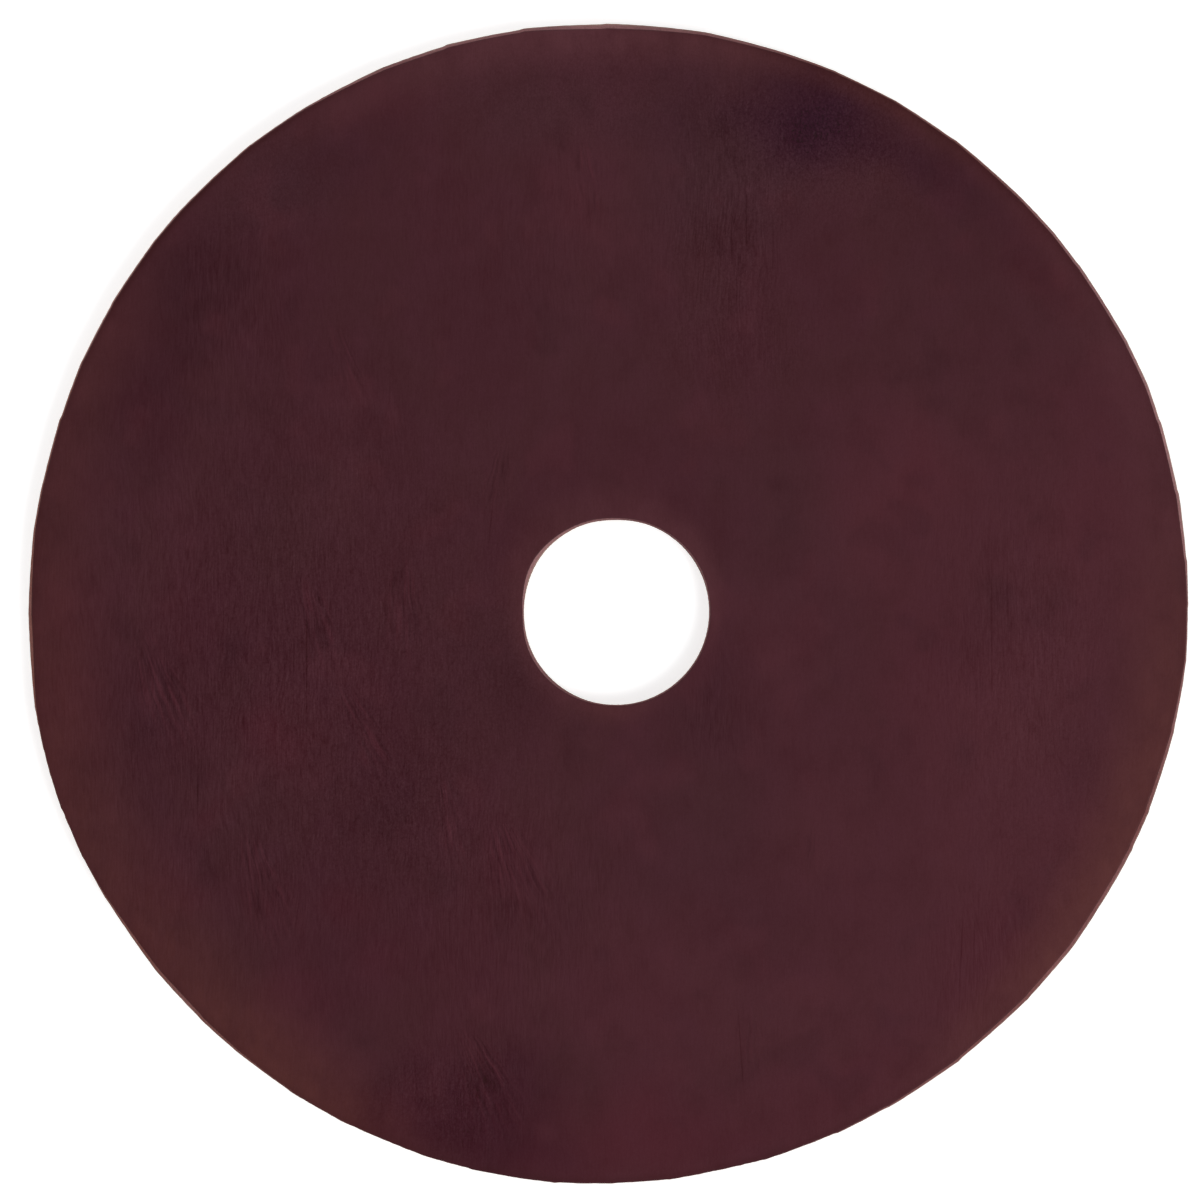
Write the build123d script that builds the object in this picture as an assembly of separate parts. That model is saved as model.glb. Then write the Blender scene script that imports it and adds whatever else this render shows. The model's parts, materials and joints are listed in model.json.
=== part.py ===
"""Leather polishing disc for a six inch flat lap: a leather pad on an adhesive film and a peel-off liner.

The frame has its origin at the centre of the hole, on the underside of the liner, with +Z up
through the layers and the grain face on top. The outline is cut by hand, so the hole stands a
little off the outline's centre, towards +X and -Y.
"""

from build123d import *
import os

# ------------------------------------------------------------------ driving dimensions, millimetres

DISC_DIAMETER = 152.4           # six inches across
HOLE_DIAMETER = 24.6            # clear way through a hole punched for a one inch boss
HOLE_OFFSET_X = 1.2             # the hole's centre from the outline's centre, along X
HOLE_OFFSET_Y = -1.1            # and along Y

LEATHER_THICKNESS = 3.2         # eight ounce vegetable-tanned side
ADHESIVE_THICKNESS = 0.13       # pressure-sensitive film
LINER_THICKNESS = 0.12          # siliconed kraft paper

ARRIS_RADIUS = 0.35             # the grain face turns down to the cut wall over this radius

# ------------------------------------------------------------------ levels worked out from them

ADHESIVE_BOTTOM = LINER_THICKNESS
LEATHER_BOTTOM = ADHESIVE_BOTTOM + ADHESIVE_THICKNESS
GRAIN_FACE = LEATHER_BOTTOM + LEATHER_THICKNESS


def bored_disc(bottom, thickness):
    """A flat round layer with the hole through it, its underside at the height given."""
    outline_centre = Location((-HOLE_OFFSET_X, -HOLE_OFFSET_Y, bottom))
    to_floor = (Align.CENTER, Align.CENTER, Align.MIN)
    blank = outline_centre * Cylinder(DISC_DIAMETER / 2, thickness, align=to_floor)
    punch = Pos(0, 0, bottom) * Cylinder(HOLE_DIAMETER / 2, thickness, align=to_floor)
    return blank - punch


def leather_disc():
    """The pad itself, grain face up, with its two upper edges rounded over."""
    pad = bored_disc(LEATHER_BOTTOM, LEATHER_THICKNESS)
    upper_edges = pad.edges().filter_by(GeomType.CIRCLE).group_by(Axis.Z)[-1]
    return fillet(upper_edges, ARRIS_RADIUS)


def adhesive_film():
    """The film that stays on the flesh side and holds the pad to the lap."""
    return bored_disc(ADHESIVE_BOTTOM, ADHESIVE_THICKNESS)


def release_liner():
    """The paper that covers the adhesive until the disc is fitted."""
    return bored_disc(0, LINER_THICKNESS)


def write_parts():
    """Write each layer to its own file, named after its node."""
    os.makedirs("parts", exist_ok=True)
    layers = {
        "leather_disc": leather_disc(),
        "adhesive_film": adhesive_film(),
        "release_liner": release_liner(),
    }
    for node, shape in layers.items():
        export_step(shape, f"parts/{node}.step")


write_parts()
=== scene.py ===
"""Leather polishing disc: the looks of a six inch lap pad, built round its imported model.

A disc of oxblood leather is cut by hand and punched for the lap's boss. Under it lie an adhesive
film and a siliconed paper liner, cut in the same pass. Heights, radii and the hole come from the
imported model; the settings below hold how the knife ran and how the skin is coloured.
"""

import json
from math import pi, radians

import bpy
import numpy as np
from bpy.props import FloatProperty, FloatVectorProperty, PointerProperty
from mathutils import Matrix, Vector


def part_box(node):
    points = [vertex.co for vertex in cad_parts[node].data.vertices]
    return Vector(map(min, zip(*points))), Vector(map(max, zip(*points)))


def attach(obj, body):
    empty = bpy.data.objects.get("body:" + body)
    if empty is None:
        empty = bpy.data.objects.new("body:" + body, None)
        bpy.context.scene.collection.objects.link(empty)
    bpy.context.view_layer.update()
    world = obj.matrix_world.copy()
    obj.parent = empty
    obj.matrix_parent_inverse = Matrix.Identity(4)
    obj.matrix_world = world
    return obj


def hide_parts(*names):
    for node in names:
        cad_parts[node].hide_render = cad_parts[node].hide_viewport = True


bl_info = {
    "name": "Leather Polishing Disc",
    "version": (1, 0, 0),
    "blender": (4, 5, 0),
    "location": "3D View > Sidebar > Polishing Disc",
    "description": "Builds a hand-cut leather lap disc on its adhesive film and paper liner",
    "category": "Add Mesh",
}

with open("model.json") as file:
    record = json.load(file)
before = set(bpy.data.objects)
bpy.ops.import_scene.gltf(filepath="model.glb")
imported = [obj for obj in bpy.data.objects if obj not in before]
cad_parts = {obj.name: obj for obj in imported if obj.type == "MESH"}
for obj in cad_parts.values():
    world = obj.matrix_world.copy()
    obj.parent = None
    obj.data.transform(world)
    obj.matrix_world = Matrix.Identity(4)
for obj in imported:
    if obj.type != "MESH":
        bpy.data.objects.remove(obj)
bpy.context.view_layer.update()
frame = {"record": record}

# ------------------------------------------------------------------ sizes taken from the frame

MM = 0.001
LEATHER_LOW, LEATHER_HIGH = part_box("leather_disc")
FILM_LOW, FILM_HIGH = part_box("adhesive_film")
LINER_LOW, LINER_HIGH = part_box("release_liner")
OUTLINE_CENTRE = (LEATHER_LOW + LEATHER_HIGH) / 2
OUTLINE_RADIUS = (LEATHER_HIGH.x - LEATHER_LOW.x) / 2
HOLE = next(mount for mount in frame["record"]["mounts"] if mount["name"] == "arbor_hole")
HOLE_RADIUS = HOLE["dims"]["r_mm"] * MM

# ------------------------------------------------------------------ how the hand cut it

# Degrees anticlockwise from +X, and millimetres that the outline stands outside its circle there.
KNIFE_WAVER = (
    (0, 0.30), (24, 0.54), (38, 0.20), (66, -0.02), (90, 0.04), (98, 0.20), (135, 0.20), (163, -0.30),
    (182, -0.06), (197, 0.50), (213, 0.30), (262, 0.34), (283, -0.16), (309, -0.28), (335, 0.12),
    (352, 0.40),
)
# Degrees, and millimetres that the foot of the rim's wall stands outside its top edge.
RIM_SLANT = (
    (0, 0.30), (8, 0.58), (15, 0.54), (24, 0.56), (45, 0.48), (62, 0.32), (75, 0.50), (83, 0.62),
    (90, 0.84), (99, 0.52), (111, 0.60), (123, 0.30), (150, 0.34), (172, 0.36), (184, 0.66),
    (192, 0.24), (207, 0.20), (214, 0.50), (223, 0.66), (238, 0.20), (288, 0.16), (301, 0.42),
    (318, 0.66), (343, 0.62), (356, 0.32),
)
# Degrees, and millimetres that the punched hole stands inside (-) or outside its circle.
PUNCH_WAVER = (
    (0, -0.04), (45, -0.05), (72, -0.13), (90, -0.30), (108, -0.13), (140, -0.05), (165, -0.20),
    (182, -0.22), (205, -0.08), (250, -0.04), (310, -0.06),
)
# The same as RIM_SLANT for the hole: how far the punch's wall opens out towards the grain face.
HOLE_SLANT = (
    (0, 0.12), (30, 0.26), (60, 0.18), (105, 0.28), (130, 0.36), (152, 0.60), (181, 0.12), (205, 0.34),
    (225, 0.36), (262, 0.10), (290, 0.16), (335, 0.16),
)

# How far the dye has crept into the cut wall at the rim, and at the hole: degrees and share.
RIM_SOAK = (
    (0, 0.70), (12, 0.15), (28, 0.35), (45, 0.75), (70, 0.97), (90, 0.60), (115, 0.85), (140, 0.50),
    (160, 0.75), (190, 0.95), (215, 1.00), (245, 1.00), (270, 0.95), (300, 1.10), (320, 1.00),
    (335, 0.95), (350, 0.60),
)
HOLE_SOAK = (
    (0, 0.60), (60, 0.85), (110, 0.50), (135, 0.15), (160, 0.05), (185, 0.50), (225, 0.70), (270, 1.00),
    (320, 0.80),
)
# How dark the knife has burnished the grain face's lip round the rim: degrees and share.
RIM_LIP = (
    (0, 0.10), (30, 0.25), (45, 0.50), (60, 0.45), (75, 0.35), (90, 0.00), (105, 0.00), (120, 0.40),
    (135, 0.90), (150, 0.50), (165, 0.25), (180, 0.30), (200, 0.10), (240, 0.15), (270, 0.30),
    (285, 0.30), (300, 0.20), (320, 0.00),
)

# Soft swells in the skin: x, y, width across, length (mm), lean from the Y axis (degrees), swells.
SWELLS = (
    (-57.0, -12.0, 10.0, 16.0, 20, 4),
    (-40.0, -8.0, 9.0, 22.0, 12, 3),
    (-14.5, -60.0, 7.0, 14.0, 24, 3),
    (-14.5, -32.0, 11.0, 16.0, 4, 4),
    (-33.5, 33.0, 6.0, 13.0, 26, 2),
    (15.0, 47.0, 10.0, 26.0, 2, 4),
    (52.0, -4.0, 8.0, 22.0, 0, 3),
)

# Where handling has worn the dye at the rim: degrees, strength, how far in it reaches (mm), and how
# golden it has turned (0 for a pale pink).
RIM_WEAR = (
    (0, 0.38, 12.0, 0.55), (15, 0.19, 9.0, 0.15), (30, 0.26, 7.0, 0.15), (45, 0.12, 3.0, 0.60),
    (60, 0.28, 2.5, 0.90), (75, 0.42, 4.5, 0.30), (90, 0.66, 6.8, 0.05), (105, 0.50, 6.2, 0.10),
    (120, 0.18, 7.0, 0.30), (132, 0.00, 4.0, 0.90), (140, 0.00, 4.0, 0.90), (150, 0.16, 10.0, 0.90),
    (165, 0.16, 10.0, 0.95), (180, 0.18, 13.0, 1.00), (195, 0.30, 12.5, 0.85), (210, 0.29, 13.0, 0.80),
    (225, 0.39, 13.0, 0.80), (240, 0.52, 11.0, 0.75), (255, 0.02, 4.0, 0.60), (285, 0.03, 4.0, 0.30),
    (300, 0.10, 7.0, 0.40), (315, 0.62, 7.0, 0.45), (330, 0.92, 9.0, 0.45), (345, 0.72, 10.0, 0.50),
)
# The same round the hole.
HOLE_WEAR = (
    (0, 0.44, 2.0, 0.10), (45, 0.52, 4.0, 0.10), (90, 0.26, 6.0, 0.10), (135, 0.28, 6.0, 0.30),
    (180, 0.26, 3.0, 0.30), (210, 0.38, 2.4, 0.10), (240, 0.30, 4.0, 0.20), (270, 0.45, 3.0, 0.35),
    (300, 0.16, 2.5, 0.10), (330, 0.08, 2.0, 0.10),
)
# Marks on the grain face: x, y, half width, half length (mm), turn (degrees), strength. The first six
# kinds are dye. The next two say where the grain is drawn into lines and where it is pebbled.
POOLED_DYE = (
    (25.8, 64.3, 13.2, 10.2, -8, 1.20), (25.0, 71.5, 13.0, 4.5, -4, 0.22),
    (39.5, 58.6, 16.0, 6.0, -38, 0.54), (19.0, 60.0, 8.0, 6.0, 0, 0.12),
    (9.0, 66.0, 14.0, 9.0, 4, 0.20), (-36.0, 60.0, 12.0, 6.0, 24, 0.12),
    (-13.0, -61.0, 6.0, 9.0, 22, 0.10), (-29.0, -22.5, 8.0, 8.0, 0, 0.08),
    (14.0, -10.0, 7.0, 9.0, 0, 0.08),
)
WINE_DYE = (
    (-18.0, -66.0, 17.0, 14.0, -8, 0.88), (-31.0, -69.0, 12.0, 9.0, -20, 0.80),
    (-10.0, -72.0, 12.0, 8.0, 0, 0.22), (-32.0, -14.0, 28.0, 28.0, 0, 0.28),
    (-30.0, -40.0, 26.0, 28.0, 0, 0.28), (-60.0, 27.0, 8.0, 14.0, -14, 0.34),
    (-13.0, 10.0, 6.0, 7.0, 0, 0.22), (-48.0, 42.0, 16.0, 20.0, -10, 0.20),
    (44.0, -44.0, 12.0, 16.0, 0, 0.10), (60.0, -26.0, 7.0, 14.0, 0, 0.12),
    (-12.0, -36.0, 8.0, 14.0, 14, 0.16), (-54.0, -4.0, 16.0, 24.0, 0, 0.20),
)
ROSE_DYE = (
    (2.0, -72.0, 28.0, 10.0, 0, 0.60), (28.0, -66.0, 28.0, 12.0, 18, 0.45),
    (52.0, -46.0, 14.0, 20.0, -28, 0.40), (-56.0, -2.0, 14.0, 20.0, 0, 0.16),
    (-42.0, -16.0, 10.0, 12.0, 0, 0.24), (-14.0, -33.0, 10.0, 14.0, 0, 0.26),
    (62.0, 16.0, 12.0, 22.0, 0, 0.20), (36.0, 14.0, 10.0, 12.0, 0, 0.18),
    (-30.0, 66.0, 12.0, 6.0, 24, 0.22), (-70.0, -8.0, 8.0, 20.0, 0, 0.10),
    (-22.0, -48.0, 20.0, 20.0, 0, 0.20), (42.0, -4.0, 14.0, 24.0, 0, 0.20),
    (49.0, 61.0, 9.0, 7.0, -40, 0.45), (-74.0, -2.0, 9.0, 26.0, 0, 0.12),
    (56.0, 53.0, 9.0, 5.0, -45, 0.35), (-46.0, -17.6, 5.5, 7.0, 0, 0.40),
    (-52.7, -26.2, 4.5, 6.0, 0, 0.32), (-35.6, -38.7, 6.0, 4.5, 0, 0.34),
    (-30.3, -45.3, 5.0, 5.0, 0, 0.24), (-56.0, -36.0, 7.0, 6.0, 20, 0.28),
    (40.6, 21.0, 6.5, 10.0, 0, 0.30), (57.5, 43.0, 6.0, 9.0, 35, 0.42),
    (3.0, -66.0, 15.0, 8.0, 0, 0.40), (-42.0, -49.5, 8.0, 8.0, 0, 0.36),
    (-46.2, -37.0, 7.0, 8.0, 0, 0.28), (-12.5, -72.5, 6.0, 4.0, 0, 0.26),
)
ASH_DYE = (
    (14.0, 60.0, 26.0, 18.0, 0, 0.80), (-8.0, 66.0, 20.0, 10.0, 0, 0.50),
    (-44.0, 56.0, 14.0, 10.0, 30, 0.60), (22.0, 6.0, 16.0, 26.0, 0, 0.35),
    (12.0, -28.0, 20.0, 24.0, 0, 0.30), (-4.0, 40.0, 24.0, 22.0, 0, 0.20),
)
DEEP_DYE = (
    (43.0, 62.6, 10.0, 6.0, -40, 0.50), (30.0, 70.0, 18.0, 7.0, -20, 0.30),
    (-55.0, 42.5, 9.0, 15.0, -16, 0.46), (-58.0, 38.0, 15.0, 24.0, -24, 0.17),
    (-40.0, 58.0, 22.0, 12.0, 28, 0.20), (-20.0, -65.0, 17.0, 11.0, -10, 0.32),
    (-61.0, -12.0, 10.0, 18.0, 4, 0.28), (-64.0, 26.0, 9.0, 16.0, -10, 0.32),
    (13.0, -12.0, 11.0, 12.0, 0, 0.30), (-13.5, -8.5, 10.0, 13.0, 0, 0.38),
    (-28.0, -19.0, 13.0, 12.0, 0, 0.06), (-31.0, -29.0, 14.0, 15.0, 0, 0.16),
    (-48.0, -34.0, 16.0, 20.0, 14, 0.26), (-46.0, 4.0, 16.0, 28.0, 0, 0.16),
    (14.0, 53.0, 10.0, 22.0, 0, 0.20), (48.4, -1.7, 8.0, 11.0, 0, 0.16),
    (60.8, -20.0, 6.0, 9.0, 0, 0.14), (-6.5, -41.0, 6.0, 10.0, 22, 0.12),
    (45.0, -18.3, 3.0, 4.0, 0, 0.26), (-48.0, 36.0, 26.0, 30.0, 0, 0.10),
    (-30.0, 34.0, 30.0, 40.0, 0, 0.12), (-52.0, -4.5, 3.0, 5.0, 0, 0.50),
    (-59.3, -15.0, 5.0, 8.0, 0, 0.22), (-46.2, -35.0, 4.0, 7.0, 10, 0.12),
    (-38.9, -46.0, 5.0, 4.0, 0, 0.20), (-54.0, -8.0, 12.0, 12.0, 0, 0.12),
    (44.0, 50.0, 18.0, 14.0, -40, 0.14), (9.0, 63.0, 15.0, 9.0, 0, 0.18),
    (-25.0, -68.0, 6.0, 5.0, 0, 0.26), (-63.0, -26.0, 6.0, 7.0, 0, 0.22),
    (-20.0, -3.0, 6.0, 8.0, 0, 0.18), (8.5, -55.0, 5.0, 6.0, 0, 0.16),
)
THIN_DYE = (
    (35.0, 14.0, 14.0, 22.0, 0, 0.50), (50.0, -16.0, 20.0, 26.0, 0, 0.42),
    (64.0, 12.0, 17.0, 38.0, 0, 0.52), (28.0, -31.0, 14.0, 20.0, 0, 0.26),
    (28.0, -56.0, 34.0, 18.0, 12, 0.40), (4.0, -50.0, 20.0, 20.0, 0, 0.42),
    (20.0, -4.0, 12.0, 18.0, 0, 0.34), (-42.0, -17.5, 6.0, 9.0, 10, 0.20),
    (-2.0, 56.0, 12.0, 22.0, 0, 0.26), (-38.0, -60.0, 14.0, 8.0, -38, 0.32),
    (52.0, -22.0, 46.0, 70.0, 0, 0.36), (-38.0, 19.0, 7.0, 11.0, 0, 0.22),
    (46.0, -42.0, 18.0, 22.0, 0, 0.36), (60.0, -31.0, 8.0, 12.0, 0, 0.25),
    (48.0, 14.0, 10.0, 18.0, 0, 0.32), (40.0, 21.0, 9.0, 12.0, 0, 0.24), (2.0, 16.0, 8.0, 8.0, 0, 0.24),
    (60.0, -27.0, 9.0, 13.0, 0, 0.24), (63.0, -9.0, 6.0, 7.0, 0, 0.20),
)
DRAWN_GRAIN = (
    (-46.0, -8.0, 44.0, 62.0, 0, 0.75), (15.0, 48.0, 12.0, 30.0, 0, 0.78),
    (53.0, -6.0, 18.0, 34.0, 0, 0.60), (48.0, -45.0, 12.0, 18.0, 0, 0.50),
    (-14.0, -38.0, 24.0, 28.0, 0, 0.50), (13.0, -13.0, 8.0, 10.0, 0, 0.50),
    (-20.0, -62.0, 14.0, 14.0, 20, 0.50), (-50.0, 42.0, 12.0, 18.0, -20, 0.50),
    (24.0, 66.0, 22.0, 12.0, -10, 0.10), (-10.0, 50.0, 34.0, 24.0, 0, 0.20),
)
GRIT = (
    (27.0, 62.0, 22.0, 15.0, -12, 1.00), (-4.0, 68.0, 34.0, 12.0, 0, 0.45),
    (-46.0, 56.0, 18.0, 10.0, 34, 0.45), (-22.0, -64.0, 14.0, 11.0, 0, 0.60),
    (-38.0, -6.0, 38.0, 48.0, 0, 0.60), (-12.0, -6.0, 18.0, 18.0, 0, 0.25),
    (15.0, 44.0, 14.0, 26.0, 0, 0.50), (56.0, -14.0, 18.0, 40.0, 0, 0.40),
    (-24.0, -28.0, 22.0, 18.0, 0, 0.35),
)
# The kinds by the names under which the pad stores them.
MARKS = {
    "pooled": POOLED_DYE, "wine": WINE_DYE, "rose": ROSE_DYE, "deep": DEEP_DYE, "thin": THIN_DYE,
    "ash": ASH_DYE, "drawn": DRAWN_GRAIN, "grit": GRIT,
}
DRAWN_ALL_OVER, GRIT_ALL_OVER = 0.17, 0.25      # what the whole face has of the last two
# Hairline creases, given in the same way as the marks. Their darker colour is painted shade along each
# crease.
HAIRLINES = (
    (-40.6, -5.2, 0.20, 13.0, 0, 1.20), (-42.3, -6.0, 0.17, 6.0, 0, 0.70),
    (-54.9, -23.6, 0.19, 4.0, 0, 1.00), (-38.9, 3.0, 0.17, 5.0, 2, 0.60),
    (17.1, 51.2, 0.19, 4.4, 0, 1.40), (15.2, 49.0, 0.17, 5.0, 0, 0.80),
    (20.6, 49.2, 0.17, 5.4, 0, 0.90), (13.3, 51.0, 0.17, 2.6, 0, 0.80),
    (49.3, -2.5, 0.19, 13.0, 0, 0.90), (51.4, 1.0, 0.17, 7.0, 1, 0.70),
    (45.3, -44.5, 0.19, 8.0, -3, 1.00), (47.0, -43.0, 0.17, 5.0, -2, 0.70),
    (-16.4, 12.0, 0.19, 5.5, -6, 0.80), (16.4, -58.0, 0.19, 8.0, 4, 0.80),
)
# Folds that fan out from a point: x, y, reach (mm), turn from straight down, spread (degrees),
# strength. Besides their relief, their ridges carry painted light and their troughs painted shade.
FOLD_FANS = (
    (-18.5, -19.5, 25.0, 20, 18, 1.00), (-25.0, -12.0, 27.0, 12, 8, 1.00),
    (-65.1, 5.6, 27.0, 19, 15, 1.00), (-42.8, 12.8, 24.0, 15, 11, 0.90),
    (-40.0, -2.0, 26.0, 28, 9, 1.00), (-24.0, -46.8, 27.0, 26, 15, 1.00),
    (-39.8, 45.3, 23.0, 19, 11, 0.58), (-50.3, -20.2, 27.0, 14, 13, 1.00),
    (16.7, -42.0, 25.0, 2, 9, 0.50), (-28.3, 16.0, 26.0, 2, 13, 0.80),
    (-13.2, 29.5, 21.0, -10, 12, 0.66), (-6.0, 70.0, 22.0, 10, 9, 0.80),
    (27.0, -20.0, 22.0, -6, 9, 0.42),
)

# Each random choice below starts from its own seed, so that the disc is the same at every build.
KNIFE_SEED, TEAR_SEED, SWELL_SEED, WANDER_SEED, DIP_SEED = 11, 3, 23, 41, 5

# ------------------------------------------------------------------ mesh

COLUMNS = 700                   # points round every piece
FACE_ROWS = 100                 # rings across the grain face, away from its edges
WALL_ROWS = 9                   # rings down each cut wall, below its arris
BACK_ROWS = 4                   # rings across the flesh side
EDGE_STEPS = (0.0, 0.14, 0.32, 0.56, 0.9)       # mm from an edge of the face to its closest rings
ARRIS_TURNS = (70, 45, 20)      # degrees up the arris's quarter circle to its rings
ARRIS_CUT = (0.15, 0.4, 0.7)    # how far each of those rings counts as cut wall
PRESS_DEPTH = 0.06 * MM         # how far the cutting pressed down the face's edge
PRESS_REACH = 1.1 * MM          # and how far in from it
SWELL_FADE = 1.5 * MM           # the swells flatten out over this distance from an edge
LIP_REACH = 0.5 * MM            # how far in from the rim the burnished lip reaches
SHORTEST_STROKE = 0.4           # the shortest knife stroke, as a share of the longest
DIP_LENGTHS = (0.021, 0.029, 0.037, 0.053, 0.081)       # the waves that the face dips in, in metres
WANDER_WAVES = 22               # waves that move the outlines of the marks, each way
WANDER_LENGTHS = (3, 20)        # the shortest and the longest of them, in mm
WANDER_HEIGHT = 0.018           # and the height of each, as a share of its length
FOLD_CLOSENESS = 1.3            # puts a fan's folds about 0.8 mm apart at half its reach
FOLD_LENGTH = 7                 # mm along a fold before it changes
FAN_STEPS = 20                  # steps of that length from one fan's folds to the next fan's

# ------------------------------------------------------------------ stage

FLOOR_HALF = 6.0                # half the floor's side, in metres
FLOOR_GAP = 0.01 * MM           # from the floor up to the liner
LIFT_NEAR = 150.0               # mm from the hole at which the floor's lift starts to grow
LIFT_FAR = 1200.0               # and at which it is full
LAMP_SIZE = 1.1                 # side of each square lamp, in metres
KEY_PLACE = (1.3, -1.1, 1.9)
FILL_PLACE = (-1.4, 1.2, 1.9)
HORIZON = 0.25                  # sine of the height up to which the room's light is full
CEILING = 0.8                   # and of the height from which it is as dim as overhead
CAMERA_ASIDE = (-0.00567, 0.00275)      # the camera from the outline's centre, in frame widths

# ------------------------------------------------------------------ settings


class LapDiscCut(bpy.types.PropertyGroup):
    """How the pad is cut out of the side of leather."""

    arris: FloatProperty(
        name="Arris rounding", description="Radius over which the grain face turns down to the cut",
        default=0.2 * MM, subtype="DISTANCE", unit="LENGTH")
    stroke: FloatProperty(
        name="Longest stroke", description="Angle that the longest straight knife stroke spans",
        default=radians(9), subtype="ANGLE", unit="ROTATION")
    follow: FloatProperty(
        name="Stroke flatness", description="1 for straight strokes, 0 for ones that follow the curve",
        default=0.45, min=0, max=1, subtype="FACTOR")
    nick: FloatProperty(
        name="Nick", description="How far the end of a stroke may stray from its line",
        default=0.07 * MM, subtype="DISTANCE", unit="LENGTH")
    tear: FloatProperty(
        name="Fibre tear", description="How far fibre clumps stand out of the cut wall",
        default=0.03 * MM, subtype="DISTANCE", unit="LENGTH")


class LapDiscGrain(bpy.types.PropertyGroup):
    """The dyed grain face and the raw fibre under it."""

    oxblood: FloatVectorProperty(
        name="Oxblood", description="The dye over most of the face", subtype="COLOR",
        default=(0.0480, 0.0085, 0.0141))
    slate: FloatVectorProperty(
        name="Slate", description="Where the dye has dried greyer", subtype="COLOR",
        default=(0.0500, 0.0104, 0.0153))
    blush: FloatVectorProperty(
        name="Blush", description="Where the dye is thin and pinker", subtype="COLOR",
        default=(0.0700, 0.0140, 0.0210))
    ash: FloatVectorProperty(
        name="Ash", description="Where the dye has dried palest and greyest", subtype="COLOR",
        default=(0.0480, 0.0126, 0.0184))
    plum: FloatVectorProperty(
        name="Plum", description="Where the dye has pooled and turned blue", subtype="COLOR",
        default=(0.0232, 0.0004, 0.0090))
    # Umber is also the painted shade in the troughs of the folds.
    umber_and_fold_shade: FloatVectorProperty(
        name="Umber", description="Where the dye has gone deep and brown", subtype="COLOR",
        default=(0.0300, 0.0040, 0.0080))
    wine: FloatVectorProperty(
        name="Wine", description="Where the dye is deep and red", subtype="COLOR",
        default=(0.0360, 0.0020, 0.0082))
    # Rose is also the painted light on the ridges of the folds.
    rose: FloatVectorProperty(
        name="Rose", description="Where the dye is bright and red", subtype="COLOR",
        default=(0.0655, 0.0088, 0.0160))
    sepia: FloatVectorProperty(
        name="Sepia", description="The burnished lip of the grain face", subtype="COLOR",
        default=(0.0270, 0.0006, 0.0008))
    worn: FloatVectorProperty(
        name="Worn pink", description="Where handling has worn the dye to a pale pink",
        subtype="COLOR", default=(0.0860, 0.0240, 0.0315))
    gold: FloatVectorProperty(
        name="Worn gold", description="Where handling has worn the dye down to the tan under it",
        subtype="COLOR", default=(0.0860, 0.0190, 0.0085))
    # Painted light and shade: the colour that the lines, pebbles, mottle, hairlines and folds add to the
    # dye or take from it, as their relief would catch light or fall into shade.
    painted_relief_shading: FloatVectorProperty(
        name="Bloom", description="What the drawn lines and creases add to the dye or take from it",
        subtype="COLOR", default=(0.050, 0.023, 0.029))
    raw: FloatVectorProperty(
        name="Raw fibre", description="The cut wall, where the dye has not gone through",
        subtype="COLOR", default=(0.340, 0.166, 0.168))
    soaked: FloatVectorProperty(
        name="Soaked fibre", description="The cut wall, where the dye has crept into it",
        subtype="COLOR", default=(0.150, 0.050, 0.058))
    russet: FloatVectorProperty(
        name="Russet fibre", description="The soaked wall where the dye over it has turned golden",
        subtype="COLOR", default=(0.160, 0.045, 0.030))
    flesh: FloatVectorProperty(
        name="Flesh fibre", description="The loose, pale fibre towards the flesh side",
        subtype="COLOR", default=(0.430, 0.300, 0.225))
    unevenness: FloatProperty(
        name="Unevenness", description="How far the face dips below its highest level",
        default=0.10 * MM, subtype="DISTANCE", unit="LENGTH")
    swell: FloatProperty(
        name="Swell height", description="Height of the highest soft swell in the skin",
        default=0.04 * MM, subtype="DISTANCE", unit="LENGTH")


class LapDiscBacking(bpy.types.PropertyGroup):
    """The adhesive film and the paper liner."""

    inset: FloatProperty(
        name="Inset", description="How far the backing's edge stands inside the foot of the leather",
        default=0.08 * MM, subtype="DISTANCE", unit="LENGTH")
    amber: FloatVectorProperty(
        name="Film", description="The adhesive film", subtype="COLOR", default=(0.50, 0.34, 0.15))
    kraft: FloatVectorProperty(
        name="Liner", description="The siliconed kraft paper", subtype="COLOR",
        default=(0.60, 0.50, 0.34))


class LapDiscStage(bpy.types.PropertyGroup):
    """Camera, light and floor."""

    lens: FloatProperty(
        name="Lens", description="Focal length, on a 36 mm sensor", default=300, subtype="NONE")
    margin: FloatProperty(
        name="Frame width", description="Width of the picture over the disc's own",
        default=1.0361, subtype="FACTOR")
    key: FloatProperty(
        name="Key light", description="Power of the large lamp at the lower right", default=28,
        unit="POWER")
    fill: FloatProperty(
        name="Fill light", description="Power of the large lamp at the upper left", default=12,
        unit="POWER")
    sky: FloatProperty(
        name="Overhead", description="Strength of the room's light straight overhead", default=0.38)
    glow: FloatProperty(
        name="Floor lift", description="How far towards white the camera sees the floor near the disc",
        default=0.50, min=0, max=1, subtype="FACTOR")


class LapDiscSettings(bpy.types.PropertyGroup):
    """All of the disc's settings."""

    cut: PointerProperty(type=LapDiscCut)
    grain: PointerProperty(type=LapDiscGrain)
    backing: PointerProperty(type=LapDiscBacking)
    stage: PointerProperty(type=LapDiscStage)


# ------------------------------------------------------------------ curves and surfaces


def eased(angles, marks, blur):
    """A value round the disc: straight lines between (degrees, value) marks, then rounded off over
    the blur in degrees.

    The rounding multiplies the curve's spectrum by a Gaussian, so the ends join up.
    """
    degrees, values = np.array(marks, float).T
    straight = np.interp(np.degrees(angles), degrees, values, period=360)
    waves = np.arange(len(angles) // 2 + 1)
    return np.fft.irfft(np.fft.rfft(straight) * np.exp(-0.5 * (waves * radians(blur)) ** 2), len(angles))


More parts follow.
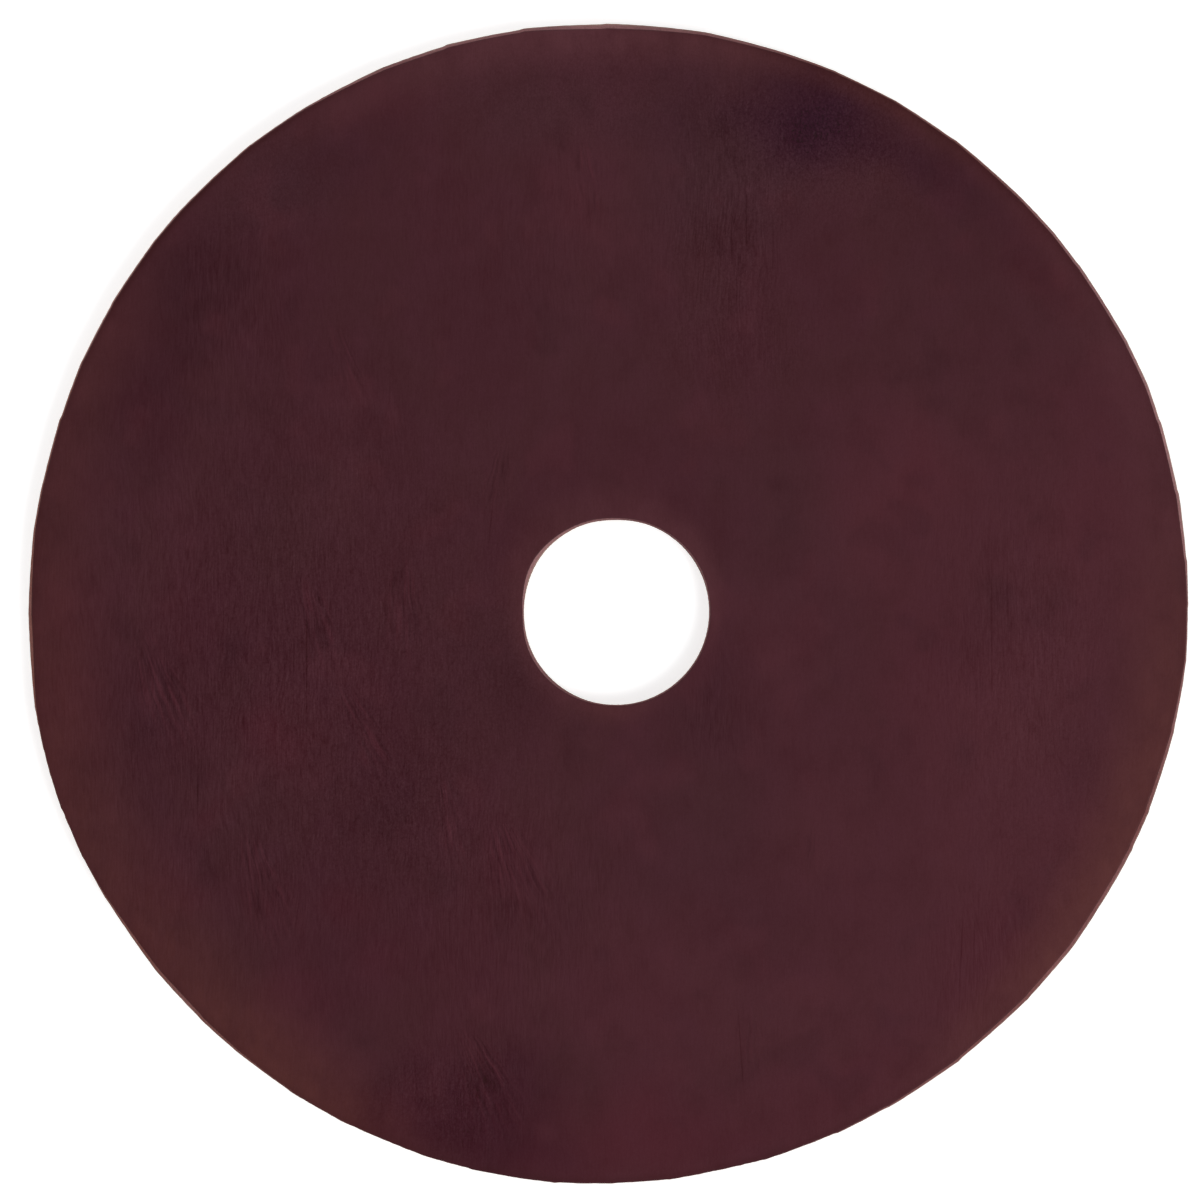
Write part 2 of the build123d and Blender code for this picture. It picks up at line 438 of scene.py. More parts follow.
def strokes(angles, radius, cut):
    """How far straight strokes fall inside a circle, and how far each has strayed from its line.

    A stroke that spans twice the angle w is a chord. At an angle a from its middle it lies
    radius times (1 - cos w / cos a) inside the circle. It strays by its own share of the nick times
    a / w, so that it does not quite meet its neighbours. Lengths and shares are drawn at random.
    """
    rng = np.random.default_rng(KNIFE_SEED)
    mean = (SHORTEST_STROKE + 1) / 2 * cut.stroke
    spans = rng.uniform(SHORTEST_STROKE, 1.0, int(2 * pi / mean))
    ends = np.cumsum(spans) * 2 * pi / spans.sum()
    starts = np.concatenate([[0], ends[:-1]])
    stroke = np.minimum(np.searchsorted(ends, angles), len(ends) - 1)
    middle, half = (starts + ends)[stroke] / 2, (ends - starts)[stroke] / 2
    gap = radius * (1 - np.cos(half) / np.cos(angles - middle))
    return gap, rng.uniform(-cut.nick, cut.nick, len(ends))[stroke] * (angles - middle) / half


def hole_foot(angles):
    """The hole's radius at the foot of its wall: a circle plus the punch's waver."""
    return HOLE_RADIUS + eased(angles, PUNCH_WAVER, blur=5.0) * MM


def rim_foot(angles, cut):
    """The outline's radius at the foot of the wall: a circle, plus the knife's waver, less what its
    straight strokes cut off and how far they stray."""
    gap, stray = strokes(angles, OUTLINE_RADIUS, cut)
    return OUTLINE_RADIUS + eased(angles, KNIFE_WAVER, blur=2.0) * MM - cut.follow * gap - stray


def ring(angles, radii, centre=(0, 0)):
    """x and y of points at the given radii round a centre."""
    return np.stack([centre[0] + radii * np.cos(angles), centre[1] + radii * np.sin(angles)], -1)


def linked(name, data):
    """An object that shows the data, put into the scene."""
    thing = bpy.data.objects.new(name, data)
    bpy.context.scene.collection.objects.link(thing)
    return thing


def tube_mesh(name, points, smooth=True):
    """A closed skin from a grid of points, rows round the section and columns round the disc.

    Both directions join up with themselves, so the surface is a ring with no seam or pole. The sign
    of the volume it encloses, a sum of (a cross b) dot c over triangles, says which way its faces
    point, and they are turned outwards.
    """
    rows, columns = points.shape[:2]
    row, column = np.meshgrid(np.arange(rows), np.arange(columns), indexing="ij")
    row_next, column_next = (row + 1) % rows, (column + 1) % columns
    corners = [row * columns + column, row * columns + column_next,
               row_next * columns + column_next, row_next * columns + column]
    points, faces = points.reshape(-1, 3), np.stack(corners, -1).reshape(-1, 4)
    a, b, c, d = (points[faces[:, i]] for i in range(4))
    volume = np.einsum("ij,ij->", np.cross(a, b), c) + np.einsum("ij,ij->", np.cross(a, c), d)
    if volume < 0:
        faces = faces[:, ::-1]
    mesh = bpy.data.meshes.new(name)
    mesh.from_pydata(points.tolist(), [], faces.tolist())
    mesh.polygons.foreach_set("use_smooth", np.full(len(faces), smooth))
    mesh.update()
    return linked(name, mesh)


def mark(piece, name, values):
    """Store one number for each vertex under the name that a material reads."""
    piece.data.attributes.new(name, "FLOAT", "POINT").data.foreach_set(
        "value", np.ascontiguousarray(values, np.float32).ravel())


def swells(x, y):
    """Height of the soft swells, up to about 1, at points in metres.

    Each swell runs along a line with a slight bow. Across it the height is exp(-(d/w)^2), where d
    is the distance from the line and w its width. Along it the height fades as (1 - u^2)^2, where u
    grows from 0 at its middle to 1 at its ends. Lean, place, length, bow and height vary at random.
    """
    rng = np.random.default_rng(SWELL_SEED)
    height = np.zeros_like(x)
    for group_x, group_y, across, length, lean, count in SWELLS:
        width = 0.3 * across / count
        for place in (np.arange(count) + 0.5) / count - 0.5:
            turn = radians(lean + rng.uniform(-5, 5) + 10 * place)
            centre_x = group_x + place * across + rng.uniform(-0.3, 0.3)
            centre_y = group_y + rng.uniform(-0.22, 0.22) * length
            half = length * rng.uniform(0.35, 0.6)
            bow = rng.uniform(-0.5, 0.5)
            strength = rng.uniform(0.4, 1.0)
            dx, dy = x / MM - centre_x, y / MM - centre_y
            along = (dy * np.cos(turn) - dx * np.sin(turn)) / half
            aside = dx * np.cos(turn) + dy * np.sin(turn) - bow * along ** 2
            height += strength * np.clip(1 - along ** 2, 0, 1) ** 2 * np.exp(-(aside / width) ** 2)
    return height


def ovals(x, y, marks):
    """The sum of soft ovals at points in metres. Each is its strength times 1 - u^2 (3 - 2u),
    where u grows from 0 at its centre to 1 at its edge."""
    total = np.zeros_like(x)
    for centre_x, centre_y, across, along, turn, strength in marks:
        dx, dy = x / MM - centre_x, y / MM - centre_y
        cosine, sine = np.cos(radians(turn)), np.sin(radians(turn))
        u = np.hypot((dx * cosine + dy * sine) / across, (dy * cosine - dx * sine) / along)
        u = np.clip(u, 0, 1)
        total += strength * (1 - u ** 2 * (3 - 2 * u))
    return total


def wear(angles, margin, marks):
    """Worn dye near an edge: its share, and how golden it is.

    The share is the strength there times u^2 (3 - 2u), where u falls from 1 at the edge to 0 at
    the reach of the wear.
    """
    degrees, strength, reach, gold = np.array(marks).T
    strength, reach, gold = (
        eased(angles, list(zip(degrees, values)), blur=3.0) for values in (strength, reach * MM, gold))
    u = np.clip(1 - margin / reach, 0, 1)
    return strength * u ** 2 * (3 - 2 * u), np.broadcast_to(gold, margin.shape)


def wave(x, y, length, way, start):
    """sin(2 pi d / length + start), where d is the distance of points along the wave's way."""
    return np.sin(2 * pi * (x * np.cos(way) + y * np.sin(way)) / length + start)


def wandered(x, y):
    """Points moved about, so that no mark read there has a regular outline.

    Each coordinate is moved by the sum of many waves of random length and direction. The height of a
    wave is a share of its length.
    """
    rng = np.random.default_rng(WANDER_SEED)
    moved = []
    for coordinate in (x, y):
        shift = np.zeros_like(x)
        for length in rng.uniform(*WANDER_LENGTHS, WANDER_WAVES) * MM:
            way, start = rng.uniform(0, 2 * pi, 2)
            shift += WANDER_HEIGHT * length * wave(x, y, length, way, start)
        moved.append(coordinate + shift)
    return moved


def fan_fields(x, y):
    """Where points in metres lie in the fans of folds: across the folds, along them, and how
    strongly the folds show there. Where fans overlap, the stronger one counts.

    Across is the heading from the fan's point times its reach and the folds' closeness. Along is the
    distance in fold lengths. The share is u^2 (3 - 2u), where u is the fan's strength times three
    ramps: one falls to 0 at the fan's sides, one rises from a quarter of its reach to half of it, and
    one falls to 0 over the last two fifths.
    """
    across, along, share = np.zeros_like(x), np.zeros_like(x), np.zeros_like(x)
    for number, (centre_x, centre_y, reach, turn, spread, strength) in enumerate(FOLD_FANS):
        dx, dy = x / MM - centre_x, y / MM - centre_y
        away = np.hypot(dx, dy)
        heading = (np.arctan2(dx, -dy) - radians(turn) + pi) % (2 * pi) - pi
        inside = np.clip(1.5 * (1 - np.abs(heading) / radians(spread)), 0, 1)
        u = strength * inside * np.clip(4 * away / reach - 1, 0, 1)
        u *= np.clip(2.5 * (1 - away / reach), 0, 1)
        here = u > share
        across[here] = (heading * FOLD_CLOSENESS * reach)[here]
        along[here] = (away / FOLD_LENGTH + FAN_STEPS * number)[here]
        share[here] = u[here]
    return across, along, share ** 2 * (3 - 2 * share)


def dips(x, y):
    """How far the face lies below its highest level, from 0 to 1: waves in random directions, each
    as high as it is long, added and scaled."""
    rng = np.random.default_rng(DIP_SEED)
    total = np.zeros_like(x)
    for length in DIP_LENGTHS:
        way, start = rng.uniform(0, 2 * pi, 2)
        total += length * wave(x, y, length, way, start)
    return (total.max() - total) / (total.max() - total.min())


def raised(xy, height):
    """Points from x and y, with one height for all or one for each."""
    return np.concatenate([xy, np.broadcast_to(height, xy.shape[:-1])[..., None]], -1)


def section_shares(span):
    """Places across the face from the hole, 0, to the rim, 1, closer together at both edges."""
    near = np.array(EDGE_STEPS) * MM / span
    return np.concatenate([near, np.linspace(near[-1], 1 - near[-1], FACE_ROWS)[1:-1], 1 - near[::-1]])


def face_height(x, y, margin, grain):
    """The grain face's height: its highest level, less what the cutting pressed down, which is
    exp(-(margin / reach)^2) of the full depth, less the dips, plus the swells, flattened out at the
    edges."""
    pressed = PRESS_DEPTH * np.exp(-(margin / PRESS_REACH) ** 2)
    swell = swells(x, y) * np.clip(margin / SWELL_FADE, 0, 1)
    return LEATHER_HIGH.z - pressed - grain.unevenness * dips(x, y) + grain.swell * (swell - 1)


def cut_wall(angles, top_radius, foot_radius, centre, edge, side, arris, tear):
    """The rings of a cut wall, from the face's edge down to the foot.

    The arris is a quarter circle. Below it the radius goes from the top's to the foot's as the fall
    to the power 0.8, plus the tear times half a sine wave. The side is 1 at the rim, -1 at the hole.
    """
    turn = np.radians(ARRIS_TURNS)[:, None]
    round_radius = top_radius + side * arris * (np.cos(turn) - 1)
    round_height = edge - arris * (1 - np.sin(turn))
    fall = np.linspace(0, 1, WALL_ROWS)[:, None]
    flat_radius = top_radius + (foot_radius - top_radius) * fall ** 0.8
    flat_radius = flat_radius + tear * np.sin(pi * np.clip(fall, 0.04, 1) * 0.9)
    flat_height = edge - arris + (LEATHER_LOW.z - edge + arris) * fall
    radii = np.concatenate([round_radius, flat_radius])
    return raised(ring(angles, radii, centre), np.concatenate([round_height, flat_height]))


# ------------------------------------------------------------------ materials

DARKEST_DYE = (0.002, 0.0003, 0.001)            # no line or pebble takes the dye below this colour
PATCH_HEIGHT = 1000             # mm, so tall that a soft oval is the same all through the leather


class Value:
    """A socket of a finish. Arithmetic on a number adds the Math node that works it out."""

    def __init__(self, finish, socket):
        self.finish = finish
        self.socket = socket

    def __add__(self, other):
        return self.finish.math("ADD", self, other)

    def __radd__(self, other):
        return self.finish.math("ADD", other, self)

    def __sub__(self, other):
        return self.finish.math("SUBTRACT", self, other)

    def __rsub__(self, other):
        return self.finish.math("SUBTRACT", other, self)

    def __mul__(self, other):
        return self.finish.math("MULTIPLY", self, other)

    def __rmul__(self, other):
        return self.finish.math("MULTIPLY", other, self)


class Finish:
    """A material's nodes. Lengths in it are millimetres, in the piece's own Object coordinates."""

    def __init__(self, owner):
        owner.use_nodes = True
        self.owner = owner
        self.tree = owner.node_tree
        self.tree.nodes.clear()

    def add(self, kind, settings=None, sockets=None, out=0):
        """Add a node: its settings first, then its sockets' values or links. Returns one output."""
        node = self.tree.nodes.new("ShaderNode" + kind)
        for name, value in (settings or {}).items():
            setattr(node, name, value)
        for name, value in (sockets or {}).items():
            if isinstance(value, Value):
                self.tree.links.new(value.socket, node.inputs[name])
            else:
                node.inputs[name].default_value = value
        return Value(self, node.outputs[out]) if node.outputs else None

    def math(self, operation, *numbers):
        """A Math node on one number or more."""
        return self.add("Math", {"operation": operation}, dict(enumerate(numbers)))

    def place(self):
        """The point being coloured, in millimetres from the hole's centre."""
        here = self.add("TexCoord", out="Object")
        return self.add("VectorMath", {"operation": "SCALE"}, {0: here, "Scale": 1 / MM})

    def parts(self, vector):
        """x, y and z of a vector."""
        node = self.add("SeparateXYZ", None, {0: vector}).socket.node
        return [Value(self, output) for output in node.outputs]

    def scaled(self, vector, factor):
        """A colour or vector times a number."""
        return self.add("VectorMath", {"operation": "SCALE"}, {0: vector, "Scale": factor})

    def stretched(self, vector, size, turn=0.0, centre=(0, 0)):
        """The point measured in steps of the given size, from a centre and along turned axes."""
        return self.add(
            "Mapping", {"vector_type": "TEXTURE"},
            {"Vector": vector, "Location": (*centre, 0), "Rotation": (0, 0, radians(turn)), "Scale": size})

    def noise(self, vector, size, detail=2.0, roughness=0.5):
        """Cloudy noise round 0.5 whose largest lumps have the given size."""
        sockets = {"Vector": vector, "Scale": 1 / size, "Detail": detail, "Roughness": roughness}
        return self.add("TexNoise", None, sockets, "Fac")

    def step(self, value, low, high):
        """0 below low, 1 above high, and a smooth rise between them."""
        return self.add(
            "MapRange", {"interpolation_type": "SMOOTHSTEP"},
            {"Value": value, "From Min": low, "From Max": high})

    def span(self, value, low, high, to_low, to_high):
        """A straight line through (low, to_low) and (high, to_high), held at its ends."""
        return self.add(
            "MapRange", None,
            {"Value": value, "From Min": low, "From Max": high, "To Min": to_low, "To Max": to_high})

    def blend(self, share, first, second):
        """From the first colour to the second as share goes from 0 to 1."""
        settings = {"data_type": "RGBA"}
        return self.add("Mix", settings, {0: share, 6: self.solid(first), 7: self.solid(second)}, 2)

    @staticmethod
    def solid(colour):
        """A colour with its alpha, or a linked colour as it is."""
        return colour if isinstance(colour, Value) else (*colour, 1)

    def patch(self, vector, x, y, across, along, turn=0.0):
        """A soft oval at every height: 1 at its centre, and 0 from its edge outwards."""
        local = self.stretched(vector, (across, along, PATCH_HEIGHT), turn, (x, y))
        distance = self.add("VectorMath", {"operation": "LENGTH"}, {0: local}, "Value")
        return self.step(distance, 1.0, 0.0)

    def patches(self, vector, marks):
        """The sum of soft ovals, each with its strength last."""
        total = 0.0
        for *oval, strength in marks:
            total = strength * self.patch(vector, *oval) + total
        return total

    def attribute(self, name):
        """A number that the piece stores at its vertices."""
        return self.add("Attribute", {"attribute_name": name}, None, "Fac")

    def bump(self, height):
        """A normal from a height in millimetres."""
        return self.add("Bump", None, {"Strength": 1.0, "Distance": MM, "Height": height})

    def shade(self, **sockets):
        """Finish with the principled shader, its sockets named with underscores for spaces."""
        named = {name.replace("_", " "): value for name, value in sockets.items()}
        shader = self.add("BsdfPrincipled", None, named)
        self.add("OutputMaterial", None, {"Surface": shader})
        return self.owner


def drawn_lines(f, at):
    """Lines along the skin, which sway from side to side: threads, broader bands and turned creases,
    all round 0, and thin scratches from 0 to 1. Each is noise in lumps of the line's width and
    length, in millimetres."""
    x, y, z = f.parts(at)
    sway = f.noise(f.stretched(at, (7.0, 16.0, 1.0)), 1.0, 1.0) * 2.4
    swayed = f.add("CombineXYZ", None, {0: x + sway, 1: y, 2: z})
    thread = f.noise(f.stretched(swayed, (0.18, 2.0, 1.0)), 1.0, 1.0) - 0.5
    band = f.noise(f.stretched(swayed, (1.3, 3.2, 1.0)), 1.0, 2.0, 0.6) - 0.5
    crease = f.noise(f.stretched(swayed, (0.6, 3.5, 1.0), 20), 1.0, 1.0) - 0.5
    hill = f.noise(f.stretched(swayed, (1.0, 13.0, 1.0)), 1.0, 1.0) - 0.5
    return thread, band, crease, f.step(f.math("ABSOLUTE", hill), 0.022, 0.0)


def pebbled(f, at):
    """A fine speckle, and the cells of a pebbled grain. Both lie round 0."""
    speck = f.noise(f.stretched(at, (0.16, 0.20, 1.0)), 1.0, 1.0) - 0.5
    sockets = {"Vector": f.stretched(at, (0.36, 0.52, 1.0)), "Scale": 1.0, "Randomness": 1.0}
    return speck, f.add("TexVoronoi", {"feature": "F1"}, sockets, "Distance") - 0.45


def folded(f, at):
    """The folds of the fans, round 0.5, and how strongly they show."""
    ripple = (f.noise(at, 3.0, 1.0) - 0.5) * 1.4
    place = {0: f.attribute("fan_across") + ripple, 1: f.attribute("fan_along")}
    fold = f.noise(f.add("CombineXYZ", None, place), 1.0, 1.5, 0.5)
    return fold, f.attribute("fan_share") * f.step(f.noise(at, 3.4, 1.0), 0.26, 0.48)


def grain_side(f, at, grain):
    """The dyed grain face: its colour, with painted light and shade on its lines, pebbles and folds, its
    relief in millimetres and its roughness.
    """
    cloud = f.noise(at, 15.0, 3.0, 0.55)
    mottle = f.noise(f.stretched(at, (1.0, 1.25, 1.0)), 4.6, 3.0, 0.55) - 0.5
    blotch = f.noise(at, 8.0, 2.0, 0.5)
    thread, band, crease, scratch = drawn_lines(f, at)
    speck, pebble = pebbled(f, at)
    hairline = f.patches(at, HAIRLINES)
    fold, fan_share = folded(f, at)
    drawn, grit, pooled = f.attribute("drawn"), f.attribute("grit"), f.attribute("pooled")

    # The dye's clouds and marks, then blotches, then painted light on the folds' ridges and painted shade
    # in their troughs, then where it has pooled or worn.
    face = f.blend(f.step(cloud + mottle * 0.4, 0.36, 0.64), grain.slate, grain.oxblood)
    for name, unevenness, colour in (
            ("ash", 0.50, grain.ash), ("thin", 0.40, grain.blush), ("rose", 0.35, grain.rose),
            ("deep", 0.30, grain.umber_and_fold_shade), ("wine", 0.25, grain.wine)):
        face = f.blend(f.span(f.attribute(name) + mottle * unevenness, 0.0, 1.0, 0.0, 1.0), face, colour)
    face = f.blend(f.step(blotch, 0.56, 0.72) * 0.27, face, grain.blush)
    face = f.blend(f.step(blotch, 0.42, 0.28) * 0.23, face, grain.umber_and_fold_shade)
    # Painted light: the folds' ridges turn rose. Painted shade: their troughs turn umber.
    face = f.blend(f.step(fold, 0.46, 0.72) * fan_share * 0.50, face, grain.rose)
    face = f.blend(f.step(fold, 0.50, 0.28) * fan_share * 0.48, face, grain.umber_and_fold_shade)
    face = f.blend(f.span(pooled + mottle * 0.3, 0.0, 1.2, 0.0, 1.0), face, grain.plum)
    worn = f.span(f.attribute("worn") * (1.0 + mottle * 1.4 + band * 0.6), 0.0, 1.0, 0.0, 1.0)
    face = f.blend(worn, face, f.blend(f.attribute("gold"), grain.worn, grain.gold))

    # Lines, pebbles, mottle, hairlines and folds add painted light and painted shade to the dye, following
    # their relief, down to the darkest dye.
    lines = thread * 0.74 + band * 0.13 + crease * 0.17 - scratch * 0.10
    painted_relief_shading = (
        drawn * lines + grit * (speck * 0.76 - pebble * 0.27) + mottle * 0.34 - hairline * 0.26
        + (fold - 0.5) * fan_share * 0.64)
    face = f.add("VectorMath", {"operation": "ADD"}, {0: face, 1: f.scaled(grain.painted_relief_shading[:], painted_relief_shading)})
    face = f.add("VectorMath", {"operation": "MAXIMUM"}, {0: face, 1: DARKEST_DYE})
    relief = (
        drawn * (thread * 0.06 + band * 0.08 + crease * 0.07) + grit * (speck * 0.03 - pebble * 0.04)
        + mottle * 0.10 + fold * fan_share * 0.10 - hairline * 0.02)
    return face, relief, 0.56 + mottle * 0.2 - pooled * 0.05


def cut_side(f, at, grain):
    """The cut wall: its colour, its relief in millimetres, its layers, and where it is dyed.

    It is raw fibre in flat layers, soaked with dye in places, looser and paler towards the flesh
    side, and dyed dark just under the grain.
    """
    level = f.span(f.parts(at)[2], LEATHER_LOW.z / MM, LEATHER_HIGH.z / MM, 0.0, 1.0)
    layers = f.noise(f.stretched(at, (1.3, 1.3, 0.12)), 1.0, 3.0, 0.65)
    drag = f.noise(f.stretched(at, (0.22, 0.22, 2.2)), 1.0, 2.0)
    soak = f.span(f.attribute("soak") + (f.noise(at, 9.0, 3.0) - 0.5) * 0.9, 0.0, 1.0, 0.0, 0.95)
    wall = f.blend(soak, grain.raw, f.blend(f.attribute("gold"), grain.soaked, grain.russet))
    loose = f.step(level + (layers - 0.5) * 0.5 + (drag - 0.5) * 0.3, 0.50, 0.05)
    tone = 1.0 + (layers - 0.5) * 1.3 + (drag - 0.5) * 0.8
    wall = f.scaled(f.blend(loose * (0.80 - soak * 0.60), wall, grain.flesh), tone)
    dyed = f.step(level + (layers - 0.5) * 0.22, 0.82, 0.95)
    return f.blend(dyed * 0.85, wall, grain.umber_and_fold_shade), layers * 0.16 + drag * 0.05, layers, dyed


def leather_finish(grain):
    """Oxblood leather: a drawn, finely creased grain face with uneven dye, and raw cut walls."""
    f = Finish(bpy.data.materials.new("oxblood_leather"))
    at = f.place()
    face, face_relief, face_roughness = grain_side(f, at, grain)
    wall, wall_relief, layers, dyed = cut_side(f, at, grain)
    raw = f.step(f.attribute("cut") + (layers - 0.5) * 0.3, 0.35, 0.75)
    colour = f.blend(f.attribute("lip") * dyed * 0.85, f.blend(raw, face, wall), grain.sepia)
    relief = face_relief + raw * (wall_relief - face_relief)
    roughness = face_roughness + raw * (0.92 - face_roughness)
    return f.shade(
        Base_Color=colour, Roughness=roughness, Specular_IOR_Level=0.14, Normal=f.bump(relief))


def film_finish(backing):
    """Pressure-sensitive film: amber, glossy and a little lumpy."""
    f = Finish(bpy.data.materials.new("adhesive_film"))
    at = f.place()
    lumps = f.noise(at, 1.6, 3.0, 0.55)
    fibres = f.noise(f.stretched(at, (0.3, 1.4, 1.0), 35), 1.0, 3.0, 0.6)
    colour = f.scaled(backing.amber[:], 0.72 + lumps * 0.35 + fibres * 0.2)
    return f.shade(
        Base_Color=colour, Roughness=0.22 + lumps * 0.2,
        Normal=f.bump(lumps * 0.03 + fibres * 0.01))


def liner_finish(backing):
    """Siliconed kraft paper: pale brown, with matted fibres and a slight gloss."""
    f = Finish(bpy.data.materials.new("kraft_liner"))
    at = f.place()
    cloud = f.noise(at, 5.0, 4.0, 0.6)
    fibres = f.noise(f.stretched(at, (0.14, 1.5, 1.0), 12), 1.0, 3.0, 0.65)
    crossed = f.noise(f.stretched(at, (0.16, 1.2, 1.0), 78), 1.0, 2.0, 0.65)
    matted = (fibres + crossed) * 0.5
    colour = f.scaled(backing.kraft[:], 0.70 + cloud * 0.3 + matted * 0.35)
    return f.shade(
        Base_Color=colour, Roughness=0.40 + cloud * 0.15, Normal=f.bump(matted * 0.012))


# ------------------------------------------------------------------ operators


class LAPDISC_OT_leather(bpy.types.Operator):
    """Cut the leather pad, with its uneven face, its folds and its slanted walls"""

    bl_idname = "lapdisc.leather"
    bl_label = "Cut the leather"

    def execute(self, context):
        cut, grain = context.scene.lap_disc.cut, context.scene.lap_disc.grain
        angles = np.arange(COLUMNS) * 2 * pi / COLUMNS
        rim_low = rim_foot(angles, cut)
        rim_top = rim_low - eased(angles, RIM_SLANT, blur=1.6) * MM
        hole_low = hole_foot(angles)
        hole_top = hole_low + eased(angles, HOLE_SLANT, blur=5.0) * MM

        # Grain face: straight lines from the hole's top edge to the rim's, dipped and swollen.
        inner = ring(angles, hole_top + cut.arris)
        outer = ring(angles, rim_top - cut.arris, OUTLINE_CENTRE)
        share = section_shares(OUTLINE_RADIUS - HOLE_RADIUS)[:, None]
        face_xy = inner + share[..., None] * (outer - inner)
        x, y = face_xy[..., 0], face_xy[..., 1]
        span = np.linalg.norm(outer - inner, axis=-1)
        from_hole, from_rim = share * span, (1 - share) * span
        face = raised(face_xy, face_height(x, y, np.minimum(from_hole, from_rim), grain))

        # Walls, torn a little, and the flesh side, which is flat on the film.
        tear = np.random.default_rng(TEAR_SEED).normal(0, cut.tear, (WALL_ROWS, COLUMNS))
        rim = cut_wall(angles, rim_top, rim_low, OUTLINE_CENTRE, face[-1, :, 2], 1, cut.arris, tear)
        hole = cut_wall(angles, hole_top, hole_low, (0, 0), face[0, :, 2], -1, cut.arris, tear)
        back_share = np.linspace(1, 0, BACK_ROWS + 2)[1:-1, None, None]
        back_xy = hole[-1, :, :2] + back_share * (rim[-1, :, :2] - hole[-1, :, :2])
        back = raised(back_xy, LEATHER_LOW.z)

        piece = tube_mesh("leather_pad", np.concatenate([face, rim, back, hole[::-1]]))
        self.mark_skin(piece, angles, x, y, from_hole, from_rim)
        piece.data.materials.append(leather_finish(grain))
        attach(piece, "pad")
        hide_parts("leather_disc")
        return {"FINISHED"}

    def mark_skin(self, piece, angles, x, y, from_hole, from_rim):
        """Store what the finish reads: over the face, then carried down the rim's wall, across the
        flesh side, and up the hole's wall."""
        wall_rows = len(ARRIS_CUT) + WALL_ROWS
        on_wall = np.ones((wall_rows, COLUMNS))
        on_wall[:len(ARRIS_CUT)] = np.array(ARRIS_CUT)[:, None]
        flat_back = np.ones((BACK_ROWS, COLUMNS))
        mark(piece, "cut", np.concatenate([0 * x, on_wall, flat_back, on_wall[::-1]]))

        moved = wandered(x, y)
        fields = {name: ovals(*moved, marks) for name, marks in MARKS.items()}
        fields["drawn"] += DRAWN_ALL_OVER
        fields["grit"] += GRIT_ALL_OVER
        rim_wear, rim_gold = wear(angles, from_rim, RIM_WEAR)
        hole_wear, hole_gold = wear(angles, from_hole, HOLE_WEAR)
        fields["worn"] = rim_wear + hole_wear
        fields["gold"] = np.where(rim_wear > hole_wear, rim_gold, hole_gold)
        fields["fan_across"], fields["fan_along"], fields["fan_share"] = fan_fields(x, y)
        ends = {name: (values[-1], values[0]) for name, values in fields.items()}
        fields["soak"] = 0 * x
        ends["soak"] = eased(angles, RIM_SOAK, blur=4.0), eased(angles, HOLE_SOAK, blur=6.0)
        rim_lip = eased(angles, RIM_LIP, blur=4.0)
        fields["lip"] = rim_lip * np.exp(-(from_rim / LIP_REACH) ** 2)
        ends["lip"] = rim_lip, 0 * rim_lip
        for name, values in fields.items():
            at_rim, at_hole = ends[name]
            mark(piece, name, np.concatenate([
                values, np.tile(at_rim, (wall_rows + BACK_ROWS, 1)), np.tile(at_hole, (wall_rows, 1))]))


def backing_sheet(name, low, high, inset, cut, finish, body, node):
    """A flat layer that follows the foot of the leather's cut, drawn in by the inset.

    Its section is a box of four corners carried round the disc.
    """
    angles = np.arange(COLUMNS) * 2 * pi / COLUMNS
    rim = ring(angles, rim_foot(angles, cut) - inset, OUTLINE_CENTRE)
    hole = ring(angles, hole_foot(angles) + inset)
    corners = [(hole, low), (rim, low), (rim, high), (hole, high)]
    points = np.stack([raised(xy, level) for xy, level in corners])
    piece = tube_mesh(name, points, smooth=False)
    piece.data.materials.append(finish)
    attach(piece, body)
    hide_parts(node)


class LAPDISC_OT_film(bpy.types.Operator):
    """Lay the adhesive film on the flesh side"""

    bl_idname = "lapdisc.film"
    bl_label = "Lay the film"

    def execute(self, context):
        cut, backing = context.scene.lap_disc.cut, context.scene.lap_disc.backing
        backing_sheet(
            "adhesive_layer", FILM_LOW.z, FILM_HIGH.z, backing.inset, cut,
            film_finish(backing), "pad", "adhesive_film")
        return {"FINISHED"}


class LAPDISC_OT_liner(bpy.types.Operator):
    """Lay the paper liner over the adhesive"""

    bl_idname = "lapdisc.liner"
    bl_label = "Lay the liner"

    def execute(self, context):
        cut, backing = context.scene.lap_disc.cut, context.scene.lap_disc.backing
        backing_sheet(
            "paper_liner", LINER_LOW.z, LINER_HIGH.z, backing.inset / 2, cut,
            liner_finish(backing), "liner", "release_liner")
        return {"FINISHED"}


